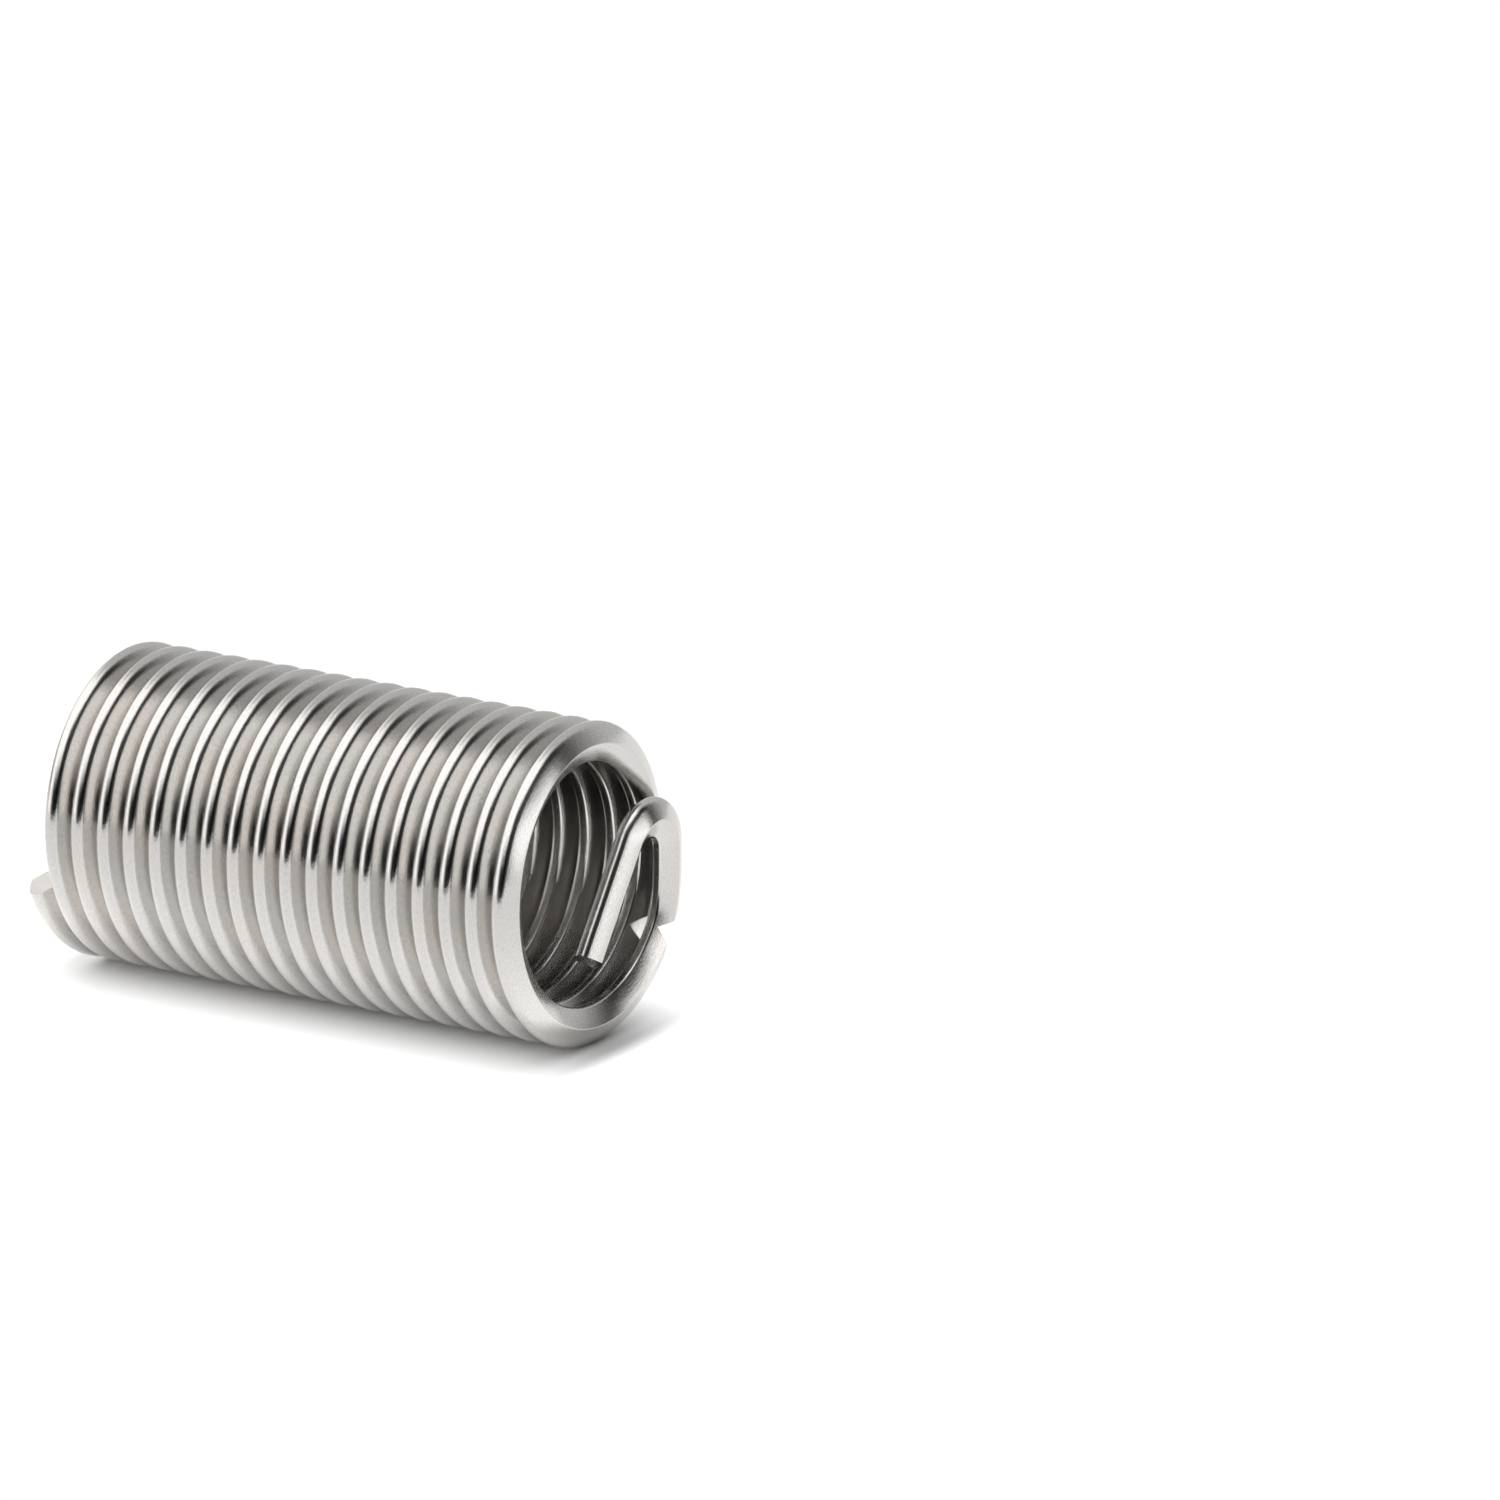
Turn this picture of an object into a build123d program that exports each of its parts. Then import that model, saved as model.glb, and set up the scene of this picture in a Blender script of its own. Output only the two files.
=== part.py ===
"""Tanged wire thread insert, right-hand, as supplied: one wire of diamond section wound into a close coil.

All sizes are in mm. The insert lies on its side as it rests on a table: the coil's axis runs along +X towards the
tang end, +Z is up and the lowest crests touch z = 0. Turn angles are read at the tang end, looking along -X, from
+Y towards +Z, and grow as the wire winds towards the tang.
"""

import os
from math import atan2, ceil, cos, pi, radians, sin, tan

from build123d import *

# Thread and coil, free state
outer_diameter = 9.7  # over the outer crests, before the hole squeezes it to size
coil_pitch = 0.93  # rise per turn
coil_turns = 18.44  # from the cut tip to the start of the tang's bend
bend_angle = 1.0  # turn angle where the bend starts

# Wire section: two 60 degree vees, one cutting the hole's thread and one making the bolt's
thread_angle = 60.0
wire_width = 0.89  # along the axis, ridge to ridge
outer_flat = 0.13
inner_flat = 0.25

# Tang end
end_turns = 1.0  # last coil, whose inside is not part of the bolt's thread
tang_bend_radius = 1.5  # to the middle of the wire
tang_heading = 236.5  # direction that the tang runs in, as a turn angle
tang_length = 3.4  # straight part
notch_angle = 326.5  # turn angle of the break-off notch
notch_opening = 60.0
notch_web = 0.22  # wire left under the notch, at the bore

# Derived
half_angle = radians(thread_angle / 2)
outer_height = (wire_width - outer_flat) / 2 / tan(half_angle)
inner_height = (wire_width - inner_flat) / 2 / tan(half_angle)
outer_radius = outer_diameter / 2
ridge_radius = outer_radius - outer_height
bore_radius = ridge_radius - inner_height
main_turns = coil_turns - end_turns
segments = ceil(4 * main_turns)  # of a quarter turn or just under
segment_turns = main_turns / segments
start_angle = bend_angle - 360 * coil_turns
bend_rise = coil_pitch * coil_turns
lead_angle = atan2(coil_pitch, 2 * pi * ridge_radius)
bend_turn = tang_heading - bend_angle - 90
notch_rise = bend_rise - coil_pitch * ((bend_angle - notch_angle) % 360) / 360
low_end = -wire_width / 2
length = bend_rise + wire_width + tang_bend_radius * sin(lead_angle)

# Where the wire leaves the coil: x is outwards and y is the wire's own direction, up its lead angle.
outwards = Vector(cos(radians(bend_angle)), sin(radians(bend_angle)), 0)
onwards = Vector(-outwards.Y * cos(lead_angle), outwards.X * cos(lead_angle), sin(lead_angle))
bend_plane = Plane(
    origin=outwards * ridge_radius + Vector(0, 0, bend_rise), x_dir=outwards, z_dir=outwards.cross(onwards)
)

# At the root of the notch, half a pitch below the middle of the wire there, with x outwards
notch_axis = Vector(cos(radians(notch_angle)), sin(radians(notch_angle)), 0)
notch_plane = Plane(
    origin=notch_axis * (bore_radius + notch_web) + Vector(0, 0, notch_rise - coil_pitch / 2), x_dir=notch_axis
)


def section(sharp):
    """Half-plane section of the wire at the coil's start, with its vees sharp or cut to their flats."""
    low, high = (0, 0) if sharp else (inner_flat / 2, outer_flat / 2)
    inner = ridge_radius - (wire_width / 2 - low) / tan(half_angle)
    outer = ridge_radius + (wire_width / 2 - high) / tan(half_angle)
    with BuildSketch(Plane.XZ) as sketch:
        with BuildLine():
            right = Polyline((inner, low), (ridge_radius, wire_width / 2), (outer, high))
            left = Polyline((inner, -low), (ridge_radius, -wire_width / 2), (outer, -high))
            if not sharp:
                Line(right @ 0, left @ 0)
                Line(right @ 1, left @ 1)
        make_face()
    return sketch.sketch.face()


def coil(profile, turns):
    """The profile wound along the coil from turn angle zero."""
    return sweep(profile, Edge.make_helix(coil_pitch, coil_pitch * turns, ridge_radius), is_frenet=True)


def wound(shape, turns):
    """The shape carried along the coil by so many turns from its start."""
    return Pos(0, 0, coil_pitch * turns) * Rot(0, 0, start_angle + 360 * turns) * shape


# The coil is wound about Z first. Its crests are true cylinders, cut in quarter turns from a sharp section.
sharp_wire = coil(section(sharp=True), segment_turns)
with BuildPart() as segment:
    add(sharp_wire)
    with BuildSketch() as tube:
        Circle(outer_radius)
        Circle(bore_radius, mode=Mode.SUBTRACT)
    extrude(amount=coil_pitch + wire_width, both=True, mode=Mode.INTERSECT)

# The last coil and the tang carry the same wire on: round the hole, through the bend and across the bore.
last_coil = coil(section(sharp=False), end_turns)
tang_section = wound(section(sharp=False), coil_turns)

with BuildPart() as wire:
    add([wound(segment.part, i * segment_turns) for i in range(segments)], clean=False)
    add(wound(last_coil, main_turns), clean=False)
    with BuildLine(bend_plane) as tang_path:
        bend = CenterArc((-tang_bend_radius, 0), tang_bend_radius, 0, bend_turn)
        Line(bend @ 1, bend @ 1 + tang_length * (bend % 1))
    sweep(tang_section, tang_path.line, clean=False)

    # The tang breaks off at this notch once the insert is in. It stops short of the coil behind.
    with BuildSketch(notch_plane):
        with BuildLine():
            mouth = outer_height + inner_height
            half_mouth = mouth * tan(radians(notch_opening / 2))
            Polyline((0, 0), (mouth, half_mouth), (mouth, -half_mouth), close=True)
        make_face()
    extrude(amount=coil_pitch + wire_width, mode=Mode.SUBTRACT, clean=False)

lying = Plane(origin=(-low_end - length / 2, 0, outer_radius), x_dir=(0, 1, 0), z_dir=(1, 0, 0))
wire_coil = lying.location * wire.part
wire_coil.label = "wire_coil"

os.makedirs("parts", exist_ok=True)
export_step(wire_coil, "parts/wire_coil.step")
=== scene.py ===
"""Looks for the wire thread insert: the coil with its rounded wire, notch, tang and tip, its steel, and the studio."""
from math import atan2, cos, pi, radians, sin, tan

import bpy
import numpy as np
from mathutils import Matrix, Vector


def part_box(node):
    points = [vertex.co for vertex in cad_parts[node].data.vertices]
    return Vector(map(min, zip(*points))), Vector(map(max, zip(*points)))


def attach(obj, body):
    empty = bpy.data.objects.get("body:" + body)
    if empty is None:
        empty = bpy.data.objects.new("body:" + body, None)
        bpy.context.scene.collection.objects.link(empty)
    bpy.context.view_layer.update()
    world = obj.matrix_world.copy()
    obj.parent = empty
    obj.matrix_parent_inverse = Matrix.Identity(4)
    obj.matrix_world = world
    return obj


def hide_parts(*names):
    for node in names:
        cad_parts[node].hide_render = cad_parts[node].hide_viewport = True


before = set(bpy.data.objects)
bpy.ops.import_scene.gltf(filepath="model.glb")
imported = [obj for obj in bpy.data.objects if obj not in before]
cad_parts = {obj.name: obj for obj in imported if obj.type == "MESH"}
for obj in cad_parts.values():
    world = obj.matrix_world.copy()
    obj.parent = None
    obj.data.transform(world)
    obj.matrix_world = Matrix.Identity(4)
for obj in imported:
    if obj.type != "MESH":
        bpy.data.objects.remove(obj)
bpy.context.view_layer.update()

MM = 0.001

# The insert's form, in mm. Turn angles run from +Y towards +Z, looking along -X, and grow towards the tang.
PITCH = 0.93
COIL_TURNS = 18.447
BEND_ANGLE = 3.6
WIRE_WIDTH = 0.89
OUTER_HEIGHT = 0.62  # crest above the ridges
INNER_HEIGHT = 0.592
OUTER_FLAT = 0.30
INNER_FLAT = 0.25
OUTER_KNEE = (0.245, 0.354)  # height over the ridges and half width where the convex flank turns
INNER_KNEE = (0.27, 0.315)
OUTER_ROUND = 0.235
INNER_ROUND = 0.12
RIDGE_ROUND = 0.03
FLANK_ROUND = 2.8
END_SPAN = 40.0  # over the last degrees the coil is drawn in and back, towards the tang's bend
END_SQUEEZE = 0.26
END_SETBACK = 0.06
TANG_BEND_RADIUS = 1.2
TANG_HEADING = 236.5
TANG_LENGTH = 3.72
TANG_SLANT = 0.15  # the end is cut back towards the front
NOTCH_ANGLE = 326.5
NOTCH_SLOPE = tan(radians(40))
NOTCH_WEB = 0.14

# The studio: turn from +X towards +Y and height over the horizon, in degrees
TENT_LIGHT = 1.6
TENT_GAPS = [  # middle turn, half width and soft edge; low and high height and soft edge; how dark
    (-66, 24, 44, -90, 17, 33, 0.98),
    (-4, 44, 34, -90, 49, 24, 0.95),
    (90, 44, 28, -90, 60, 22, 0.6),
    (-178, 10, 34, -90, 4, 26, 0.75),
]
TENT_LAMPS = [  # the same, and how bright
    (22, 12, 12, -10, 9, 12, 1.5),
]
PAPER = 0.82
PAPER_LIT = 0.735  # how bright the studio alone makes the open paper
PAPER_GAIN = 2.2  # painted shade: the paper reads as white from where one part in so many of the sky is open to it, by formula
PAST_END = 4.0  # the painted shade fades so much faster past the coil's ends than beside it

low, high = (np.array(corner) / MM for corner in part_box("wire_coil"))
OUTER_RADIUS = (high[2] - low[2]) / 2
RIDGE_RADIUS = OUTER_RADIUS - OUTER_HEIGHT
AXIS_HEIGHT = low[2] + OUTER_RADIUS
START_X = low[0] + WIRE_WIDTH / 2  # middle of the wire at the tip
STEPS_PER_TURN = 90
ARC_STEP = radians(14)
NOTCH_MOUTH = 2.0  # how far the wedge that cuts the notch reaches out from its root


def rounded(corners, radii):
    """Closed outline through the corners, each replaced by an arc of its radius."""
    outline = []
    count = len(corners)
    for i, corner in enumerate(corners):
        before = corners[i - 1] - corner
        after = corners[(i + 1) % count] - corner
        before, after = before / np.linalg.norm(before), after / np.linalg.norm(after)
        half = np.arccos(np.clip(before @ after, -1, 1)) / 2
        middle = (before + after) / np.linalg.norm(before + after)
        centre = corner + middle * radii[i] / sin(half)
        first = corner + before * radii[i] / tan(half) - centre
        last = corner + after * radii[i] / tan(half) - centre
        steps = 2 + int((pi - 2 * half) / ARC_STEP)
        for k in range(steps + 1):
            spoke = first * (steps - k) + last * k
            outline.append(centre + spoke / np.linalg.norm(spoke) * radii[i])
    return np.array(outline)


def wire_section():
    """Points (outwards from the ridge, along the axis) round the wire's section."""
    front = [  # from the crest to the bore, with the radius at each corner
        (OUTER_HEIGHT, OUTER_FLAT / 2, OUTER_ROUND),
        (*OUTER_KNEE, FLANK_ROUND),
        (0, WIRE_WIDTH / 2, RIDGE_ROUND),
        (-INNER_KNEE[0], INNER_KNEE[1], FLANK_ROUND),
        (-INNER_HEIGHT, INNER_FLAT / 2, INNER_ROUND),
    ]
    back = [(height, -side, radius) for height, side, radius in reversed(front)]
    table = np.array(front + back)
    return rounded(table[:, :2], table[:, 2])


def unit(angle):
    return np.array([0, cos(radians(angle)), sin(radians(angle))])


def drawn_in(angle):
    """How far the coil has been drawn in towards the bend, from 0 to 1."""
    part = np.clip((angle - BEND_ANGLE) / END_SPAN + 1, 0, 1)
    return part * part * (3 - 2 * part)


def coil_rings(section):
    """The section at each step along the coil, up to where the tang's bend starts."""
    start = BEND_ANGLE - 360 * COIL_TURNS
    angles = np.linspace(start, BEND_ANGLE, int(COIL_TURNS * STEPS_PER_TURN) + 1)
    rings = []
    for angle in angles:
        outwards = unit(angle)
        x = START_X + PITCH * (angle - start) / 360
        ring = (RIDGE_RADIUS - END_SQUEEZE * drawn_in(angle) + section[:, :1]) * outwards
        ring[:, 0] += x - END_SETBACK * drawn_in(angle) + section[:, 1]
        rings.append(ring)
    return rings


def tang_rings(section):
    """The wire carried on round the bend and straight across the bore."""
    start_radius = RIDGE_RADIUS - END_SQUEEZE
    lead = atan2(PITCH, 2 * pi * start_radius)
    outwards = unit(BEND_ANGLE)
    sideways = unit(BEND_ANGLE + 90)
    axis = np.array([1.0, 0, 0])
    onwards = sideways * cos(lead) + axis * sin(lead)
    normal = np.cross(outwards, onwards)
    end_x = START_X + PITCH * COIL_TURNS - END_SETBACK
    origin = outwards * start_radius + axis * end_x
    # the section as it stands at the start of the bend
    flat = section[:, :1] * outwards + section[:, 1:] * axis
    rings = []
    turn = TANG_HEADING - BEND_ANGLE - 90
    centre = origin - outwards * TANG_BEND_RADIUS
    for angle in np.linspace(0, turn, 49)[1:]:
        c, s = cos(radians(angle)), sin(radians(angle))

        def spin(v):
            return v * c + np.cross(normal, v) * s + np.outer(v @ normal, normal).reshape(v.shape) * (1 - c)

        rings.append(centre + spin(outwards * TANG_BEND_RADIUS) + spin(flat))
    heading = spin(onwards)
    for part in np.linspace(0, 1, 9)[1:]:
        reach = TANG_LENGTH * part - TANG_SLANT * section[:, 1] * part ** 8
        rings.append(rings[47] + heading * reach[:, None])
    return rings


def wire_mesh():
    """The wire's skin, with a UV map in millimetres: along the wire and round its section."""
    section = wire_section()
    points = np.array(coil_rings(section) + tang_rings(section))
    points[:, :, 2] += AXIS_HEIGHT
    rings, around = points.shape[:2]
    along = np.cumsum(np.r_[0, np.linalg.norm(np.diff(points.mean(axis=1), axis=0), axis=1)])
    across = np.cumsum(np.r_[0, np.linalg.norm(np.diff(section, axis=0, append=section[:1]), axis=1)])
    quads = []
    uvs = []
    for i in range(rings - 1):
        for k in range(around):
            here, there, onward = i * around, (i + 1) * around, (k + 1) % around
            quads.append((here + k, there + k, there + onward, here + onward))
            uvs += [(along[i], across[k]), (along[i + 1], across[k])]
            uvs += [(along[i + 1], across[k + 1]), (along[i], across[k + 1])]
    tip = list(range(around))
    tang_end = list(range((rings - 1) * around, rings * around))[::-1]
    uvs += [(0, across[k]) for k in range(around)] + [(along[-1], across[k]) for k in range(around)][::-1]
    mesh = bpy.data.meshes.new("wire")
    mesh.from_pydata((points.reshape(-1, 3) * MM).tolist(), [], quads + [tip, tang_end])
    mesh.uv_layers.new(name="wire").data.foreach_set("uv", np.array(uvs).ravel())
    mesh.polygons.foreach_set("use_smooth", [True] * len(mesh.polygons))
    mesh.update()
    return mesh


def wedge_mesh():
    """The V that cuts the break-off notch, from outside in and as long as the wire is wide."""
    outwards = unit(NOTCH_ANGLE)
    sideways = unit(NOTCH_ANGLE + 90)
    root = outwards * (RIDGE_RADIUS - INNER_HEIGHT + NOTCH_WEB)
    mouth = root + outwards * NOTCH_MOUTH
    half = sideways * NOTCH_MOUTH * NOTCH_SLOPE
    turns = COIL_TURNS - (BEND_ANGLE - (NOTCH_ANGLE - 360)) / 360
    middle = np.array([START_X + PITCH * turns, 0, AXIS_HEIGHT])
    corners = []
    for end in (-PITCH / 2, PITCH / 2):
        shift = middle * (1, 0, 1) + (end, 0, 0)
        corners += [corner + shift for corner in (root, mouth + half, mouth - half)]
    faces = [(0, 1, 2), (5, 4, 3), (3, 4, 1, 0), (4, 5, 2, 1), (5, 3, 0, 2)]
    mesh = bpy.data.meshes.new("wedge")
    mesh.from_pydata((np.array(corners) * MM).tolist(), [], faces)
    mesh.update()
    return mesh


def notched(wire):
    """The wire's mesh with the notch cut out of it."""
    wedge = bpy.data.objects.new("wedge", wedge_mesh())
    bpy.context.scene.collection.objects.link(wedge)
    cut = wire.modifiers.new("notch", "BOOLEAN")
    cut.operation = "DIFFERENCE"
    cut.solver = "EXACT"
    cut.object = wedge
    mesh = bpy.data.meshes.new_from_object(wire.evaluated_get(bpy.context.evaluated_depsgraph_get()))
    wire.modifiers.remove(cut)
    bpy.data.objects.remove(wedge)
    mesh.set_sharp_from_angle(angle=radians(28))
    return mesh


class Nodes:
    """Short ways to add nodes to a tree and join them."""

    def __init__(self, tree):
        self.tree = tree

    def add(self, kind, **settings):
        node = self.tree.nodes.new("ShaderNode" + kind)
        for name, value in settings.items():
            setattr(node, name, value)
        return node

    def feed(self, node, **inputs):
        for name, value in inputs.items():
            socket = node.inputs[int(name[1:])] if name[0] == "i" and name[1:].isdigit() else node.inputs[name]
            if isinstance(value, bpy.types.NodeSocket):
                self.tree.links.new(value, socket)
            else:
                socket.default_value = value
        return node

    def math(self, operation, first, second=0.0, clamp=False):
        node = self.add("Math", operation=operation, use_clamp=clamp)
        return self.feed(node, i0=first, i1=second).outputs[0]

    def ramp(self, value, low, high, start=0.0, end=1.0):
        node = self.add("MapRange", interpolation_type="SMOOTHSTEP")
        self.feed(node, i0=value, i1=low, i2=high, i3=start, i4=end)
        return node.outputs[0]

    def band(self, value, low, high, soft):
        """One between low and high, falling to nothing over the soft width outside them."""
        rise = self.ramp(value, low - soft, low)
        fall = self.ramp(value, high, high + soft, 1.0, 0.0)
        return self.math("MULTIPLY", rise, fall)

    def patch(self, turn, height, place):
        """One inside a patch of the sky, falling to nothing over its soft edges."""
        middle, half, soft, low, high, edge = place
        away = self.math("WRAP", self.math("SUBTRACT", turn, middle), 180.0)
        away.node.inputs[2].default_value = -180.0
        across = self.ramp(self.math("ABSOLUTE", away), half, half + soft, 1.0, 0.0)
        return self.math("MULTIPLY", across, self.band(height, low, high, edge))

    def noise(self, vector, scale, detail=3.0, roughness=0.55):
        node = self.add("TexNoise")
        self.feed(node, Vector=vector, Scale=scale, Detail=detail, Roughness=roughness)
        return node.outputs["Fac"]

    def stretched(self, vector, along, across):
        node = self.feed(self.add("Mapping"), Vector=vector, Scale=(along, across, 1))
        return node.outputs[0]


def steel_material():
    """Drawn stainless wire: bright, with a grain along it, fine pits and faint warm and cool patches."""
    steel = bpy.data.materials.new("steel")
    steel.use_nodes = True
    nodes = Nodes(steel.node_tree)
    shader = steel.node_tree.nodes["Principled BSDF"]
    uv = nodes.add("UVMap", uv_map="wire").outputs[0]
    place = nodes.add("TexCoord").outputs["Object"]
    streaks = nodes.noise(nodes.stretched(uv, 0.5, 9.0), 2.2, 4.0)
    grain = nodes.noise(nodes.stretched(uv, 3.0, 9.0), 3.0, 3.0, 0.7)
    patches = nodes.noise(place, 420.0, 2.0)
    mottle = nodes.noise(place, 1800.0, 1.5, 0.6)
    tint = nodes.add("Mix", data_type="RGBA")
    nodes.feed(tint, i0=nodes.ramp(patches, 0.4, 0.6), i6=(0.672, 0.649, 0.623, 1), i7=(0.660, 0.649, 0.630, 1))
    shade = nodes.add("Mix", data_type="RGBA", blend_type="MULTIPLY")
    level = nodes.ramp(grain, 0.3, 0.62, 0.84, 1.0)
    grey = nodes.add("CombineColor")
    nodes.feed(grey, i0=level, i1=level, i2=level)
    nodes.feed(shade, i0=1.0, i6=tint.outputs[2], i7=grey.outputs[0])
    rough = nodes.math("MULTIPLY_ADD", streaks, 0.12)
    rough.node.inputs[2].default_value = 0.06
    bump = nodes.add("Bump")
    relief = nodes.math("ADD", nodes.math("MULTIPLY", streaks, 0.6), grain)
    relief = nodes.math("ADD", relief, nodes.math("MULTIPLY", mottle, 1.2))
    nodes.feed(bump, Strength=0.3, Distance=0.00001, Height=relief)
    nodes.feed(shader, Metallic=1.0, Roughness=rough, Normal=bump.outputs[0])
    nodes.feed(shader, **{"Base Color": shade.outputs[2]})
    return steel


def paper_floor():
    """A white sheet, lit and shadowed by the studio, and lifted to white for the camera and in the steel.

    The lift is painted shade: it follows, by formula, the share of the sky that a cylinder of the coil's size
    would leave open to the paper, so it fades out towards the contact; the dark round the coil is partly the
    rendered shadow and partly this painted shadow, seen by the camera and in the steel.
    """
    bpy.ops.mesh.primitive_plane_add(size=4, location=(0, 0, 0))
    floor = bpy.context.active_object
    floor.name = "floor"
    paper = bpy.data.materials.new("paper")
    paper.use_nodes = True
    nodes = Nodes(paper.node_tree)
    shader = paper.node_tree.nodes["Principled BSDF"]
    place = nodes.feed(nodes.add("SeparateXYZ"), Vector=nodes.add("TexCoord").outputs["Object"])
    along = nodes.math("SUBTRACT", place.outputs[0], (low[0] + high[0]) / 2 * MM)
    beyond = nodes.math("SUBTRACT", nodes.math("ABSOLUTE", along), (high[0] - low[0]) / 2 * MM)
    beyond = nodes.math("MAXIMUM", beyond, 0.0)
    beside = nodes.math("SUBTRACT", place.outputs[1], (low[1] + high[1]) / 2 * MM)
    beside = nodes.math("MULTIPLY", beside, beside)

    # painted shade mask: the share of the sky a cylinder of the coil's box would leave open, worked out by formula,
    # near nothing at the contact
    def painted_open_sky(past_end):
        ahead = nodes.math("MULTIPLY", beyond, past_end)
        away = nodes.math("ADD", nodes.math("MULTIPLY", ahead, ahead), beside)
        return nodes.math("DIVIDE", away, nodes.math("ADD", away, (OUTER_RADIUS * MM) ** 2))

    # painted shadow: the white lift for the camera and the steel is held back near the coil by this formula, not by
    # the light
    white = nodes.math("MULTIPLY", painted_open_sky(PAST_END), PAPER_GAIN, clamp=True)
    lift = nodes.math("SUBTRACT", white, nodes.math("MULTIPLY", painted_open_sky(1.0), PAPER_LIT), clamp=True)
    path = nodes.add("LightPath")
    seen = nodes.math("MAXIMUM", path.outputs["Is Glossy Ray"], path.outputs["Is Transmission Ray"])
    seen = nodes.math("MAXIMUM", seen, path.outputs["Is Camera Ray"])
    nodes.feed(shader, Roughness=1.0, **{"Base Color": (PAPER, PAPER, PAPER, 1), "Specular IOR Level": 0.0})
    nodes.feed(shader, **{"Emission Color": (1, 1, 1, 1), "Emission Strength": nodes.math("MULTIPLY", lift, seen)})
    floor.data.materials.append(paper)
    return floor


def studio_world():
    """A white tent with the dark gaps that bright steel needs to show its form."""
    world = bpy.data.worlds.new("studio")
    world.use_nodes = True
    nodes = Nodes(world.node_tree)
    background = world.node_tree.nodes["Background"]
    way = nodes.add("SeparateXYZ")
    nodes.feed(way, Vector=nodes.add("TexCoord").outputs["Generated"])
    turn = nodes.math("MULTIPLY", nodes.math("ARCTAN2", way.outputs[1], way.outputs[0]), 180 / pi)
    height = nodes.math("MULTIPLY", nodes.math("ARCSINE", way.outputs[2]), 180 / pi)
    light = TENT_LIGHT
    for *place, depth in TENT_GAPS:
        dark = nodes.math("MULTIPLY", nodes.patch(turn, height, place), depth)
        light = nodes.math("MULTIPLY", light, nodes.math("SUBTRACT", 1.0, dark))
    for *place, strength in TENT_LAMPS:
        light = nodes.math("ADD", light, nodes.math("MULTIPLY", nodes.patch(turn, height, place), strength))
    path = nodes.add("LightPath")
    nodes.feed(background, Color=(1, 1, 1, 1))
    nodes.feed(background, Strength=nodes.math("MAXIMUM", light, path.outputs["Is Camera Ray"]))
    return world


def photo_camera():
    data = bpy.data.cameras.new("camera")
    data.sensor_width = 36
    data.lens = 258.1
    data.clip_end = 10
    camera = bpy.data.objects.new("camera", data)
    bpy.context.scene.collection.objects.link(camera)
    camera.location = Vector((169.41, -255.3, 100.9)) * MM
    camera.rotation_euler = Vector((-0.4979, 0.8169, -0.2912)).to_track_quat("-Z", "Y").to_euler()
    return camera


wire = bpy.data.objects.new("wire", wire_mesh())
bpy.context.scene.collection.objects.link(wire)
wire.data = notched(wire)
wire.data.materials.append(steel_material())
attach(wire, "root")
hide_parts("wire_coil")

paper_floor()
bpy.context.scene.world = studio_world()
bpy.context.scene.camera = photo_camera()
bpy.context.scene.view_settings.view_transform = "Standard"
